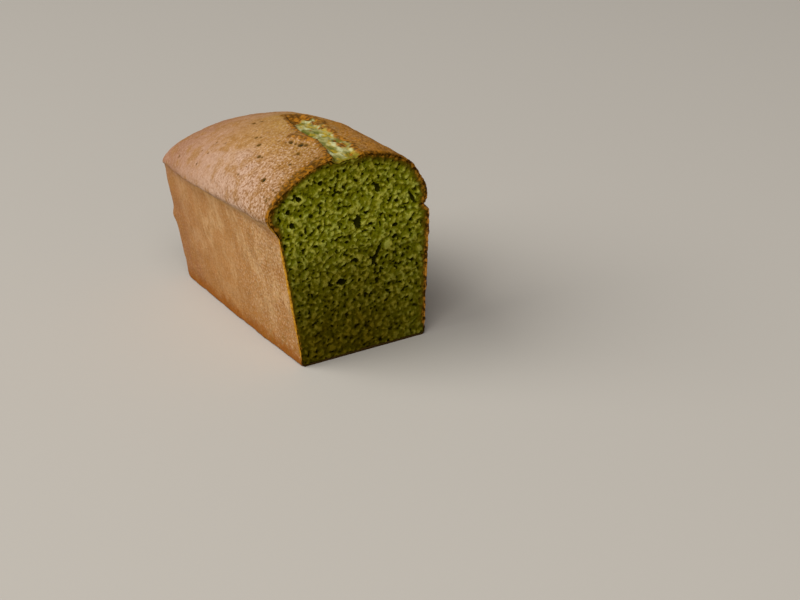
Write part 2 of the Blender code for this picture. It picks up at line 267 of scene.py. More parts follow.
def shoulder_reach(shoulder, along):
    rim_reach = BASE_WIDTH / 2.0 + WALL_LEAN
    fade = smooth_step((along / BASE_LENGTH - OVERHANG_LEVEL) / (1.0 - OVERHANG_LEVEL))
    return blend(shoulder.reach, rim_reach, OVERHANG_FADE * fade)


def low_relief(point, relief):
    seed = Vector((relief.seed, relief.seed, relief.seed))
    return relief.height * noise.noise(point / relief.grain + seed)


def tear_edges(along):
    """Places across of the tear's left and right edge at a distance from the cut."""
    middle = TEAR_START + TEAR_DRIFT * smooth_step(along / TEAR_DRIFT_LENGTH)
    wave = TEAR_WAVE * math.cos(2.0 * math.pi * along / TEAR_WAVE_LENGTH)
    left = noise.noise(Vector((along / TEAR_STRAY_LENGTH, 0.0, 0.0)))
    right = noise.noise(Vector((along / TEAR_STRAY_LENGTH, TEAR_STRAY_SEED, 0.0)))
    flare = TEAR_FLARE * math.exp(-along / TEAR_FLARE_LENGTH)
    return (middle - TEAR_HALF_WIDTH - wave - flare + TEAR_STRAY * left,
            middle + TEAR_HALF_WIDTH + wave + TEAR_STRAY * right)


def bared_edges(along):
    """Places across between which the crust is off: a little wider than the tear, far left
    and near right."""
    left, right = tear_edges(along)
    left -= BARED_LEFT.width * bell(along - BARED_LEFT.along, BARED_LEFT.spread)
    right += BARED_RIGHT.width * bell(along - BARED_RIGHT.along, BARED_RIGHT.spread)
    return left, right


def tear_share(x, along):
    """How far a point is into the tear: 0 on the crust, 1 on the crumb between its lips."""
    left, right = bared_edges(along)
    across = (x - left) / (right - left)
    side = min(across / TEAR_SIDE_LEFT, (1.0 - across) / TEAR_SIDE_RIGHT)
    return smooth_step(side) * smooth_step((TEAR_LENGTH - along) / TEAR_CLOSING)


def tear_lumps(x, along):
    """How high the crumb in the tear stands above its mean level: lumps drawn out along it."""
    point = Vector((x, along * TEAR_DRAWN_OUT, 0.0))
    return low_relief(point, TEAR_LUMP) + low_relief(point, TEAR_GRAIN)


def tear_relief(x, along):
    """How far the crown stands above its smooth form: raised lips, and the crumb between them."""
    left, right = bared_edges(along)
    outside = max(left - x, x - right, along - TEAR_LENGTH, 0.0)
    across = min(max((x - left) / (right - left), 0.0), 1.0)
    lip = blend(LIP_LEFT, LIP_RIGHT, across)
    raised = lip * bell(outside, LIP_SPREAD)
    share = tear_share(x, along)
    if share == 0.0:
        return raised
    sunk = blend(TEAR_DEPTH, TEAR_DEPTH_RIGHT, smooth_step(across)) - tear_lumps(x, along)
    return raised - share * (lip + sunk)


def fold_share(x, along):
    """1 along the ridge of the fold beside the tear, and 0 away from it."""
    start, end = Vector(FOLD_START) * MM, Vector(FOLD_END) * MM
    run = end - start
    place = Vector((x, along))
    share = min(max((place - start).dot(run) / run.length_squared, 0.0), 1.0)
    return bell((place - start - run * share).length, FOLD_RADIUS)


def scrap_share(x, along):
    """1 on a scrap of crust left in the tear, and 0 away from them all."""
    gaps = [((x / MM - scrap.x) / scrap.width) ** 2
            + ((along / MM - scrap.along) / scrap.length) ** 2 for scrap in SCRAPS]
    return math.exp(-min(gaps))


def wall_point(shoulder, share, along):
    """A point of a long wall's outline, share 0 at the base and 1 at the shoulder."""
    top = shoulder_height(shoulder, along)
    height = top * closer_at_ends(share)
    overhang = shoulder_reach(shoulder, along) - BASE_WIDTH / 2.0 - WALL_LEAN
    bow = WALL_BOW * math.sin(math.pi * along / BASE_LENGTH) * (1.0 - share)
    reach = BASE_WIDTH / 2.0 + WALL_LEAN * min(height / TIN_DEPTH, 1.0) + bow
    reach += overhang * smooth_step((height - TIN_DEPTH) / (top - TIN_DEPTH))
    pinch = max(1.0 - ((height - PINCH_HEIGHT) / PINCH_SPREAD) ** 2, 0.0)
    reach -= shoulder.pinch * pinch ** 2
    below = 1.0 - min(height / BASE_EDGE, 1.0)
    reach -= BASE_EDGE * (1.0 - math.sqrt(1.0 - below ** 2))
    return Vector((shoulder.side * reach, height))


def crown_height(x, along):
    """Height of the crown over a place across and along the loaf. The relief of the tear fades
    out on the lower half of the crown's rise."""
    shoulder = LEFT if x < 0.0 else RIGHT
    across = min(abs(x) / shoulder_reach(shoulder, along), 1.0)
    rise = (1.0 - across ** shoulder.roundness) ** (1.0 / shoulder.roundness)
    foot = shoulder_height(shoulder, along)
    relief = tear_relief(x, along) * smooth_step(2.0 * rise - 1.0)
    brow = math.exp(-((x - BROW_PLACE) / BROW_ACROSS) ** 2 - (along / BROW_ALONG) ** 2)
    flat = math.exp(-((x - FLAT_PLACE) / FLAT_ACROSS) ** 2 - (along / FLAT_ALONG) ** 2)
    flat *= smooth_step(FLAT_FADE * rise)
    smooth = blend(foot, peak_height(along), rise)
    return smooth + relief + BROW_HEIGHT * brow - FLAT_DEPTH * flat


def crown_angle(x, along):
    """The angle round the crown of a place across it, from 0 at its left foot to pi."""
    shoulder = LEFT if x < 0.0 else RIGHT
    across = abs(x) / shoulder_reach(shoulder, along)
    angle = math.acos(across ** (shoulder.roundness / 2.0))
    return angle if x < 0.0 else math.pi - angle


def crown_point(column, along):
    """A point of the crown's outline; columns count from the left shoulder to the right."""
    tear_left, tear_right = (crown_angle(edge, along) for edge in tear_edges(along))
    if column <= COLUMNS_LEFT:
        angle = blend(0.0, tear_left, column / COLUMNS_LEFT)
    elif column <= COLUMNS_LEFT + COLUMNS_TEAR:
        angle = blend(tear_left, tear_right, (column - COLUMNS_LEFT) / COLUMNS_TEAR)
    else:
        angle = blend(math.pi, tear_right, (COLUMNS - column) / COLUMNS_RIGHT)
    shoulder = LEFT if angle < math.pi / 2.0 else RIGHT
    reach = shoulder_reach(shoulder, along)
    x = shoulder.side * reach * abs(math.cos(angle)) ** (2.0 / shoulder.roundness)
    return Vector((x, crown_height(x, along)))


def outline_point(across, up, along):
    """A point of a cross-section's outline, for a point of a square's edge from -1 to 1."""
    column = (across + 1.0) / 2.0 * COLUMNS
    share_up = (up + 1.0) / 2.0
    if up > 1.0 - NO_GAP:
        return crown_point(column, along)
    if across < NO_GAP - 1.0:
        return wall_point(LEFT, share_up, along)
    if across > 1.0 - NO_GAP:
        return wall_point(RIGHT, share_up, along)
    return wall_point(LEFT, 0.0, along).lerp(wall_point(RIGHT, 0.0, along), column / COLUMNS)


def section_point(column, row, along):
    """A point of a cross-section: ring within ring, its outline is drawn in to its middle."""
    across = 2.0 * column / COLUMNS - 1.0
    up = 2.0 * row / ROWS - 1.0
    ring = max(abs(across), abs(up))
    middle = Vector((0.0, SECTION_MIDDLE))
    if ring < NO_GAP:
        return middle
    return middle.lerp(outline_point(across / ring, up / ring, along), ring)


def loaf_point(column, row, station):
    """A point of the loaf, with the baked end rounded off."""
    share = min(station / STATIONS_STRAIGHT, 1.0)
    straight = share * (1.0 - STATION_CROWDING * (1.0 - share))
    turn = max(station - STATIONS_STRAIGHT, 0.0) / STATIONS_ROUND * math.pi / 2.0
    x, z = section_point(column, row, straight * (BASE_LENGTH - END_ROUND_ALONG))
    length = BASE_LENGTH + END_LEAN * min(z / TIN_DEPTH, 1.0)
    y = straight * (length - END_ROUND_ALONG) + END_ROUND_ALONG * math.sin(turn)
    inset = 1.0 - math.cos(turn)
    x *= 1.0 - inset * END_ROUND_ACROSS / (BASE_WIDTH / 2.0 + WALL_LEAN)
    if z > SECTION_MIDDLE:
        z -= inset * END_ROUND_TOP * (z - SECTION_MIDDLE) / (PEAK_HEIGHT - SECTION_MIDDLE)
    else:
        z += inset * END_ROUND_BASE * (SECTION_MIDDLE - z) / SECTION_MIDDLE
    return Vector((x, y - BASE_LENGTH / 2.0, z))


def hollow_point(column, row, depth):
    """A point of the rim of the hollow that the cut's crumb fills."""
    across = 2.0 * column / COLUMNS - 1.0
    up = 2.0 * row / ROWS - 1.0
    ring = max(abs(across), abs(up))
    edge = outline_point(across / ring, up / ring, 0.0)
    inward = (Vector((0.0, SECTION_MIDDLE)) - edge).normalized()
    ragged = low_relief(Vector((edge.x, 0.0, edge.y)), RIM_RAGGED)
    x, z = edge + inward * (RIM_WIDTH + RIM_WIDTH_RAGGED * ragged)
    return Vector((x, depth - BASE_LENGTH / 2.0, z))


def drop_relief(point):
    """The drop of batter baked on to the far left corner."""
    corner = Vector((-(BASE_WIDTH / 2.0 + WALL_LEAN * DROP_HEIGHT / TIN_DEPTH),
                     BASE_LENGTH / 2.0, DROP_HEIGHT))
    return DROP_PROUD * bell((point - corner).length, DROP_RADIUS)


def split_edges_along(mesh, axis, pieces):
    """Cut a block's edges that run along an axis into pieces, and its faces with them."""
    edges = [edge for edge in mesh.edges
             if abs(edge.verts[0].co[axis] - edge.verts[1].co[axis]) > NO_GAP]
    bmesh.ops.subdivide_edges(mesh, edges=edges, cuts=pieces - 1, use_grid_fill=True)


def scattered_pits():
    """Small burst bubbles: some all over the crown, and more along its browned edge."""
    draw = np.random.default_rng(PIT_SEED)
    pits = []
    while len(pits) < SMALL_PITS + RIM_PITS:
        at_rim = len(pits) >= SMALL_PITS
        x = draw.uniform(PITS_LEFT, RIM_PITS_RIGHT if at_rim else PITS_RIGHT)
        if at_rim:
            along = draw.uniform(*RIM_PITS_ALONG)
        else:
            along = SMALL_PITS_LENGTH * draw.random() ** SMALL_PITS_CROWDING
        left, right = tear_edges(along * MM)
        in_tear = left - PITS_BESIDE_TEAR * MM < x * MM < right + PITS_BESIDE_TEAR * MM
        if not in_tear or along > TEAR_LENGTH / MM + PITS_BEYOND_TEAR:
            radius = draw.uniform(*SMALL_PIT_RADIUS)
            pits.append(Pit(x, along, radius, draw.uniform(*SMALL_PIT_DEPTH)))
    return pits


def edge_width(point):
    """How wide the browned edge of the crust is at the cut: widest beside the tear, on its left."""
    on_crown = smooth_step((point.z - EDGE_CROWN_LEVEL) / EDGE_CROWN_RISE)
    beside_tear = EDGE_RIGHT_SHARE
    if point.x < 0.0:
        beside_tear = smooth_step((point.x - EDGE_TEAR_START) / EDGE_TEAR_RUN)
    return (EDGE_ON_WALL + on_crown * (EDGE_ON_CROWN + EDGE_BESIDE_TEAR * beside_tear)) * MM


def keep_in_box(point, low, high):
    return Vector(min(max(value, least), most) for value, least, most in zip(point, low, high))


def make_object(name, mesh, material):
    """A piece from a bmesh: its place is in its mesh, and its object stays at the origin."""
    data = bpy.data.meshes.new(name)
    mesh.to_mesh(data)
    mesh.free()
    data.materials.append(material)
    data.shade_smooth()
    piece = bpy.data.objects.new(name, data)
    bpy.context.scene.collection.objects.link(piece)
    return piece


def make_crust(material):
    """The crust: a finely cut block whose points move to their places on the loaf, and then
    along their normals by its fine relief. Its layers tell the paint where it is."""
    mesh = bmesh.new()
    bmesh.ops.create_cube(mesh, size=1.0, matrix=Matrix.Translation((0.5, 0.5, 0.5)))
    counts = (COLUMNS, STATIONS, ROWS)
    for axis, pieces in enumerate(counts):
        split_edges_along(mesh, axis, pieces)
    names = ("crown", "pit", "near_tear", "lip", "open", "sunk", "side", "edge")
    layers = {name: mesh.verts.layers.float.new(name) for name in names}

    places = {vert: tuple(round(share * pieces) for share, pieces in zip(vert.co, counts))
              for vert in mesh.verts}
    rings = {}
    for vert, (column, station, row) in places.items():
        rings[vert] = min(column, COLUMNS - column, row, ROWS - row)
        if station == 0 and rings[vert] in (1, 2):
            vert.co = hollow_point(column, row, HOLLOW_DEPTH * (rings[vert] - 1))
        else:
            vert.co = loaf_point(column, row, station)
    mesh.normal_update()

    pits = list(CROWN_PITS) + scattered_pits()
    pit_x = np.array([pit.x for pit in pits]) * MM
    pit_along = np.array([pit.along for pit in pits]) * MM
    pit_radius = np.array([pit.radius for pit in pits]) * MM
    pit_depth = np.array([pit.depth for pit in pits]) * MM
    moves = {}
    for vert, (column, station, row) in places.items():
        point = vert.co
        along = point.y + BASE_LENGTH / 2.0
        on_cut = station == 0
        if row == 0 or (on_cut and rings[vert] > 1):
            continue
        level = blend(LEFT.height, RIGHT.height, smooth_step(point.x / SHOULDER_SPAN + 0.5))
        below = level * (1.0 - SHOULDER_FALL * min(along / BASE_LENGTH, 1.0)) - point.z
        on_crown = 1.0 if row == ROWS else 1.0 - smooth_step(below / CROWN_BLEND)
        height = low_relief(point, CRUST_WAVE) + low_relief(point, CRUST_CRAG) + drop_relief(point)
        grain = low_relief(point, CROWN_LUMP) + low_relief(point, CROWN_GRAIN)
        height += blend(low_relief(point, WALL_GRAIN), grain, on_crown)
        vert[layers["crown"]] = on_crown
        edge = 1.0 - along / edge_width(point)
        if row == ROWS:
            gaps = np.hypot(pit_x - point.x, (pit_along - along) / PIT_LENGTH) / pit_radius
            nearest = int(gaps.argmin())
            hole = pit_depth[nearest] * math.exp(-float(gaps[nearest]) ** 2)
            left, right = bared_edges(along)
            outside = max(left - point.x, point.x - right, along - TEAR_LENGTH, 0.0)
            bared = tear_share(point.x, along)
            fold = fold_share(point.x, along)
            scrap = scrap_share(point.x, along)
            height += FOLD_HEIGHT * fold + SCRAP_HEIGHT * scrap - hole
            vert[layers["pit"]] = hole / MM
            vert[layers["near_tear"]] = bell(outside, NEAR_TEAR)
            vert[layers["lip"]] = max(bell(outside, LIP_REACH), fold)
            vert[layers["open"]] = bared * (1.0 - smooth_step(SCRAP_COVER * scrap))
            vert[layers["sunk"]] = -tear_lumps(point.x, along) / MM
            vert[layers["side"]] = (point.x - left) / (right - left)
            edge = blend(edge, EDGE_NONE, bared)
        vert[layers["edge"]] = edge
        rough = low_relief(point, RIM_RAGGED) * smooth_step(edge)
        height += rough if point.x > 0.0 else -abs(rough)
        height -= RIM_ROUND * (1.0 - smooth_step(along / RIM_ROUND_LENGTH))
        moves[vert] = vert.normal * height
        if on_cut:
            moves[vert].y = 0.0
    low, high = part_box("pound_cake_loaf")
    for vert, move in moves.items():
        vert.co = keep_in_box(vert.co + move, low, high)

    base = [face for face in mesh.faces if all(places[vert][2] == 0 for vert in face.verts)
            and all(vert.co.z < NO_GAP for vert in face.verts)]
    back = [face for face in mesh.faces
            if all(places[vert][1] == 0 and rings[vert] > 1 for vert in face.verts)]
    bmesh.ops.dissolve_faces(mesh, faces=base)
    bmesh.ops.dissolve_faces(mesh, faces=back)
    bmesh.ops.triangulate(mesh, faces=mesh.faces)
    bmesh.ops.recalc_face_normals(mesh, faces=mesh.faces)
    return make_object("crust", mesh, material)


# The Mix node names its sockets alike for each kind of data, so they are known by number.
MIX_SHARE, MIX_FIRST, MIX_SECOND, MIX_RESULT = 0, 6, 7, 2


class Value:
    """A number that varies over a surface: Python's operators on it add its Math nodes."""

    def __init__(self, finish, socket):
        self.finish = finish
        self.socket = socket

    def math(self, operation, *others):
        inputs = dict(enumerate((self,) + others))
        return self.finish.node("ShaderNodeMath", {"operation": operation}, inputs)

    def __add__(self, other):
        return self.math("ADD", other)

    def __sub__(self, other):
        return self.math("SUBTRACT", other)

    def __mul__(self, other):
        return self.math("MULTIPLY", other)

    def __rsub__(self, other):
        return (self * -1.0) + other

    __radd__ = __add__
    __rmul__ = __mul__

    def strayed(self, reach):
        """A share from 0 to 1 as a distance to either side, to make a stain's edge wander."""
        return (self - 0.5) * reach


class Finish:
    """One material and its nodes."""

    def __init__(self, name, colour, shine):
        self.material = bpy.data.materials.new(name)
        self.material.use_nodes = True
        self.material.diffuse_color = colour + (1.0,)
        self.tree = self.material.node_tree
        self.shader = self.tree.nodes["Principled BSDF"]
        self.shader.inputs["Specular IOR Level"].default_value = shine
        self.place = self.node("ShaderNodeTexCoord", output="Object")

    def node(self, kind, settings=None, inputs=None, output=0):
        """A new node of a type, with its settings and the values or links of its sockets."""
        node = self.tree.nodes.new(kind)
        for name, value in (settings or {}).items():
            setattr(node, name, value)
        for name, value in (inputs or {}).items():
            self.feed(node.inputs[name], value)
        return Value(self, node.outputs[output])

    def feed(self, socket, value):
        if isinstance(value, Value):
            self.tree.links.new(value.socket, socket)
        else:
            socket.default_value = value

    def attribute(self, name):
        return self.node("ShaderNodeAttribute", {"attribute_name": name}, output="Fac")

    def axis(self, name):
        return self.node("ShaderNodeSeparateXYZ", {}, {"Vector": self.place}, name)

    def stretched(self, across, along, up):
        inputs = {"Vector": self.place, "Scale": (across, along, up)}
        return self.node("ShaderNodeMapping", {}, inputs)

    def noise(self, grain, detail=2.0, place=None, output="Fac"):
        inputs = {"Vector": place or self.place, "Scale": 1.0 / grain, "Detail": detail}
        return self.node("ShaderNodeTexNoise", {}, inputs, output)

    def step(self, value, start, end):
        """0 where the value is at start or before it, and 1 from end on."""
        inputs = {"Value": value, "From Min": start, "From Max": end}
        return self.node("ShaderNodeMapRange", {"interpolation_type": "SMOOTHSTEP"}, inputs)

    def fade(self, value, start, end):
        """1 where the value is at start or before it, and 0 from end on."""
        return 1.0 - self.step(value, start, end)

    def mix(self, share, first, second, kind="MIX"):
        """A colour between two colours, or the first one toned by the second."""
        def whole(colour):
            return colour if isinstance(colour, Value) else tuple(colour) + (1.0,)
        settings = {"data_type": "RGBA", "clamp_factor": True, "blend_type": kind}
        inputs = {MIX_SHARE: share, MIX_FIRST: whole(first), MIX_SECOND: whole(second)}
        return self.node("ShaderNodeMix", settings, inputs, MIX_RESULT)

    def coated(self, colour, *coats, kind="MIX"):
        """A colour under coats of paint: each coat is its share of the surface and its colour."""
        for share, coat in coats:
            colour = self.mix(share, colour, coat, kind)
        return colour

    def finish(self, colour, roughness, height, depth):
        """Feed the shader its colour and roughness, and a relief of the given depth."""
        bump = self.node("ShaderNodeBump", {}, {"Height": height, "Distance": depth})
        self.feed(self.shader.inputs["Base Color"], colour)
        self.feed(self.shader.inputs["Roughness"], roughness)
        self.feed(self.shader.inputs["Normal"], bump)
        return self.material


# Paints of the crown, from the left shoulder to the right and from the cut to the baked end.
# The pinkish tan of the left shoulder is partly the crust's own colour and partly painted sheen.
CROWN_TAN_AND_SHEEN, CROWN_GOLD = (0.44, 0.275, 0.182), (0.39, 0.21, 0.072)
CROWN_FAR_TAN, CROWN_FAR_BROWN = (0.345, 0.18, 0.105), (0.285, 0.133, 0.070)
CROWN_BESIDE_TEAR = (0.33, 0.18, 0.036)
CROWN_NEAR_CUT = (0.28, 0.14, 0.03)
CROWN_RIGHT = (0.41, 0.165, 0.010)
CROWN_STAIN = (0.29, 0.135, 0.026)
CROWN_GRAIN_PALE, CROWN_GRAIN_DARK = (0.62, 0.44, 0.33), (0.20, 0.08, 0.009)

# Paints of the walls.
WALL_TAN, WALL_PALE = (0.43, 0.21, 0.067), (0.54, 0.315, 0.135)
# The low wall paint is partly a darker bake and partly painted shade.
WALL_LOW_BAKED_AND_SHADED = (0.36, 0.155, 0.035)
WALL_FAR, WALL_FAR_LOW = (0.34, 0.15, 0.06), (0.28, 0.112, 0.040)
WALL_FOLD, WALL_STAIN = (0.33, 0.145, 0.032), (0.34, 0.15, 0.032)
WALL_STREAK = (0.37, 0.165, 0.042)
WALL_GRAIN_PALE, WALL_GRAIN_DARK = (0.66, 0.45, 0.29), (0.26, 0.105, 0.017)
# The base paint is a dark line at the very base: partly a darker baked edge, partly painted shadow
# where the loaf meets the table.
WALL_BASE_BAKED_AND_SHADOW = (0.27, 0.085, 0.006)
# The crease paint is painted light: lighter and warmer, it lifts the shade under the left
# shoulder's overhang.
WALL_CREASE_PAINTED_LIGHT = (0.64, 0.36, 0.11)

# Paints of the tear: its browned lips and islands, and the crumb bared in it.
LIP_DARK, LIP_LIGHT = (0.11, 0.040, 0.001), (0.34, 0.132, 0.007)
# The well paint is painted shade in the low hollows of the bared crumb.
BARED_LIGHT, BARED_WELL_PAINTED_SHADE = (0.33, 0.295, 0.11), (0.105, 0.108, 0.010)
BARED_YELLOW, BARED_PALE = (0.37, 0.245, 0.012), (0.47, 0.48, 0.26)
BARED_AT_CUT = (0.19, 0.155, 0.008)

# Paints of the edge that the knife left, and of the burst bubbles.
EDGE_WALL_DARK, EDGE_WALL_LIGHT = (0.40, 0.17, 0.008), (0.60, 0.30, 0.022)
EDGE_RIGHT_DARK, EDGE_RIGHT_LIGHT = (0.07, 0.028, 0.002), (0.50, 0.22, 0.025)
EDGE_CROWN_DARK, EDGE_CROWN_LIGHT = (0.085, 0.034, 0.001), (0.29, 0.115, 0.005)
# The knife's edge at the base goes near black: partly a darker baked edge, partly painted shadow
# where the loaf meets the table.
EDGE_BASE_BAKED_AND_SHADOW = (0.04, 0.02, 0.002)
# The burst bubbles are painted darker with their depth: browned and shaded at their rims, near
# black painted shade at their bottoms.
PIT_RIM_BROWNED_AND_SHADED, PIT_BOTTOM_PAINTED_SHADE = (0.12, 0.055, 0.005), (0.025, 0.018, 0.003)
CRUST_COLOUR = (0.43, 0.21, 0.075)
CRUST_SHINE = 0.08
CRUST_ROUGHNESS = 0.6
CRUST_BUMP = 0.3 * MM


def crust_finish():
    """The paint of the crust. Places in it are in metres from the middle of the base."""
    paint = Finish("baked crust", CRUST_COLOUR, CRUST_SHINE)
    across, along, up = paint.axis("X"), paint.axis("Y"), paint.axis("Z")
    side, on_top = paint.attribute("side"), paint.attribute("crown")
    beside_tear = paint.attribute("near_tear")
    cloud = paint.noise(13.0 * MM, detail=3.0)
    stain = paint.noise(6.5 * MM, detail=4.0)
    speckle = paint.noise(1.3 * MM, detail=3.0)
    grain = paint.noise(1.0 * MM, detail=1.5)
    granule = paint.noise(1.9 * MM, detail=3.0)
    speck = paint.noise(1.35 * MM, detail=3.0, place=paint.stretched(1.1, 0.9, 1.0))
    ragged = paint.noise(2.4 * MM, detail=3.0).strayed(1.3)
    pale_grain = paint.step(grain, 0.48, 0.68)
    sharp = 1.0 - paint.step(along + cloud.strayed(0.03), -0.055, 0.010) * 0.7

    # The crown: pinkish tan on the left shoulder, partly the crust's colour and partly painted
    # sheen, yellower near the tear, browner on its right and towards the cut.
    shoulder = paint.step(across + cloud.strayed(0.03), -0.038, -0.018)
    right = paint.step(side + cloud.strayed(1.2), 0.85, 1.55) * beside_tear
    right = right + paint.step(across + cloud.strayed(0.02), 0.004, 0.028) * (1.0 - beside_tear)
    near_cut = paint.fade(along + cloud.strayed(0.02), -0.064, -0.038)
    mottled = near_cut * shoulder
    crown = paint.coated(
        paint.mix(shoulder, CROWN_TAN_AND_SHEEN, CROWN_GOLD),
        (paint.step(along, -0.01, 0.03) * 0.6, CROWN_FAR_TAN),
        (paint.step(along, 0.025, 0.055) * 0.75, CROWN_FAR_BROWN),
        (beside_tear * 0.85, CROWN_BESIDE_TEAR),
        (near_cut * (shoulder * 0.4 + 0.5), CROWN_NEAR_CUT),
        (right, CROWN_RIGHT),
        (paint.step(stain, 0.44, 0.66) * 0.7, CROWN_STAIN),
        (pale_grain * sharp * (0.65 - right * 0.45 - mottled * 0.2), CROWN_GRAIN_PALE),
        (paint.step(speck + mottled * 0.04, 0.48, 0.62) * sharp * 0.8, CROWN_GRAIN_DARK),
    )

    # The walls: pale grains on tan, streaked, and browner towards the baked end. Towards the base
    # they are browner and darker, partly a darker bake and partly painted shade. The shaded crease
    # under the left shoulder is painted lighter and warmer: painted light.
    streaks = paint.noise(2.4 * MM, detail=3.0, place=paint.stretched(1.0, 1.0, 0.45))
    folds = paint.noise(8.0 * MM, detail=3.0, place=paint.stretched(1.0, 1.0, 0.3))
    # Painted light in the shaded crease under the left shoulder's overhang: strongest half-way from
    # wall to crown, and towards the cut.
    painted_crease_light = on_top * (1.0 - on_top) * paint.fade(across, -0.030, -0.010)
    painted_crease_light = painted_crease_light * paint.fade(along, 0.0, 0.05)
    wall = paint.coated(
        paint.mix(paint.step(cloud, 0.42, 0.58), WALL_TAN, WALL_PALE),
        # Browner and darker over the lowest 30 mm: partly a darker bake, partly painted shade.
        (paint.fade(up + cloud.strayed(0.02), 0.0, 0.03), WALL_LOW_BAKED_AND_SHADED),
        (paint.step(along, -0.01, 0.06) * 0.45, WALL_FAR),
        (paint.step(along - up * 0.4, 0.02, 0.05) * 0.7, WALL_FAR_LOW),
        (paint.step(folds, 0.48, 0.64) * 0.5, WALL_FOLD),
        (paint.step(stain, 0.5, 0.68) * 0.5, WALL_STAIN),
        (paint.step(streaks, 0.48, 0.68) * 0.5, WALL_STREAK),
        (pale_grain * sharp * 0.5, WALL_GRAIN_PALE),
        (paint.step(speck, 0.5, 0.64) * sharp * 0.6, WALL_GRAIN_DARK),
        # A dark line along the base: partly a darker baked edge, partly painted shadow.
        (paint.fade(up + stain.strayed(0.012), 0.0015, 0.009), WALL_BASE_BAKED_AND_SHADOW),
        # Painted light that lifts the shade in the crease.
        (painted_crease_light * 3.2, WALL_CREASE_PAINTED_LIGHT),
    )

    # The crumb in the tear: soft wells darkened by painted shade, yellow and pale spots, browned
    # islands, and a browned far end.
    browned = paint.mix(paint.step(granule, 0.42, 0.60), LIP_DARK, LIP_LIGHT)
    # Painted shade: the bared crumb goes dark where its relief is low.
    well = paint.step(paint.attribute("sunk") + speckle.strayed(0.6), -0.6, 0.5)
    drawn_out = paint.stretched(1.0, TEAR_DRAWN_OUT, 1.0)
    yellow = paint.noise(3.2 * MM, detail=2.0, place=drawn_out) + side.strayed(0.08)
    pale = paint.noise(3.0 * MM, detail=1.0, place=paint.stretched(1.0, 0.4, 1.0))
    island = paint.noise(3.4 * MM, detail=3.0, place=drawn_out) + side.strayed(0.22)
    far = paint.step(along, -0.030, -0.004) * 0.3 + paint.step(along, -0.010, -0.001) * 0.9
    bared = paint.coated(
        paint.mix(well, BARED_LIGHT, BARED_WELL_PAINTED_SHADE),
        (paint.step(yellow, 0.46, 0.62) * 0.75, BARED_YELLOW),
        (paint.step(pale, 0.50, 0.70) * 0.8, BARED_PALE),
        (paint.step(island, 0.60, 0.70), browned),
        (paint.step(far - side + ragged * 0.2, -0.1, 0.25), browned),
        (paint.fade(along, -0.0672, -0.0620), BARED_AT_CUT),
    )

    # The edge that the knife left.
    on_wall = paint.mix(paint.step(speckle, 0.4, 0.6), EDGE_WALL_DARK, EDGE_WALL_LIGHT)
    on_right = paint.mix(paint.step(granule, 0.42, 0.58), EDGE_RIGHT_DARK, EDGE_RIGHT_LIGHT)
    # Near black at the base of the knife's edge: partly a darker baked edge, partly painted shadow.
    on_wall = paint.coated(on_wall, (paint.step(across, -0.01, 0.01), on_right),
                           (paint.fade(up, 0.0015, 0.006), EDGE_BASE_BAKED_AND_SHADOW))
    on_crown = paint.mix(paint.step(granule, 0.42, 0.58), EDGE_CROWN_DARK, EDGE_CROWN_LIGHT)
    edge = paint.step(paint.attribute("edge") + ragged * 0.6, -0.45, 0.25)

    # All of them in their places, with the lips of the tear and the burst bubbles.
    opened = paint.step(paint.attribute("open") + ragged * 0.8, -0.05, 0.75)
    pit = paint.attribute("pit") + ragged * 0.3
    colour = paint.coated(
        paint.mix(on_top, wall, crown),
        (paint.step(paint.attribute("lip") + ragged * 0.7, 0.25, 0.85) * 0.85, browned),
        (opened, bared),
        (edge, paint.mix(on_top, on_wall, on_crown)),
        # Painted shade in the burst bubbles, deeper with their depth, over a browned rim.
        (paint.step(pit, 0.12, 0.4), PIT_RIM_BROWNED_AND_SHADED),
        (paint.step(pit, 0.45, 0.9), PIT_BOTTOM_PAINTED_SHADE),
    )
    roughness = CRUST_ROUGHNESS + speckle * 0.2 + (right * on_top + edge) * 0.15
    relief = speckle + grain * (1.0 - opened) * 0.6
    return paint.finish(colour, roughness, relief, CRUST_BUMP)


crust = make_crust(crust_finish())
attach(crust, "root")
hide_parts("pound_cake_loaf")

# ---- The crumb of the cut face
# The green inside of the cake, a soft sponge. A slab in the crust's hollow: a fine grid with
# the relief of its lumps and grains, its open pores and the large air holes.
CRUMB_CELL = 0.264 * MM
CRUMB_MARGIN = 0.9 * MM
CRUMB_BACK = 6.0 * MM
CRUMB_TAPER = 0.955

# How finely its outline is followed, how many points are measured from it at once, and what
# keeps a length from being none.
OUTLINE_STEPS_UP = 240
OUTLINE_STEPS_PER_COLUMN = 4
POINTS_AT_ONCE = 4000
SPECK_OF_LENGTH = 1e-18

# The relief: how far the crumb sags behind the cut, its lumps and grains, and the open pores,
# which start where a noise of ragged lumps is well above its mean.
CRUMB_SEED = 7
CRUMB_SAG = 0.55 * MM
LUMP_HEIGHT, LUMP_REACH = 0.36 * MM, 0.56 * MM
GRAIN_HEIGHT, GRAIN_REACH = 0.12 * MM, 0.27 * MM
PORE_DEPTH, PORE_REACH = 1.25 * MM, 0.72 * MM
PORE_RAGGED, PORE_RAGGED_REACH = 0.7, 0.36 * MM
PORE_START, PORE_FULL = 1.05, 3.0
# How far the crumb is averaged to tell its tops from its hollows, for the painted light and shade.
CAVITY_REACH = 1.1 * MM

# It lies flatter towards the base and beside the rim, and hardly stands out of the cut.
CRUMB_PROUD = 0.2 * MM
CRUMB_AT_RIM = 0.1 * MM
FIRM_SHARE, FIRM_LEVEL, FIRM_FADE = 0.5, 10.0 * MM, 50.0 * MM
HOLE_FADE = 3.0
RIM_SHARE, RIM_FADE = 0.5, 0.3
RIM_UNDER_TEAR = -0.2

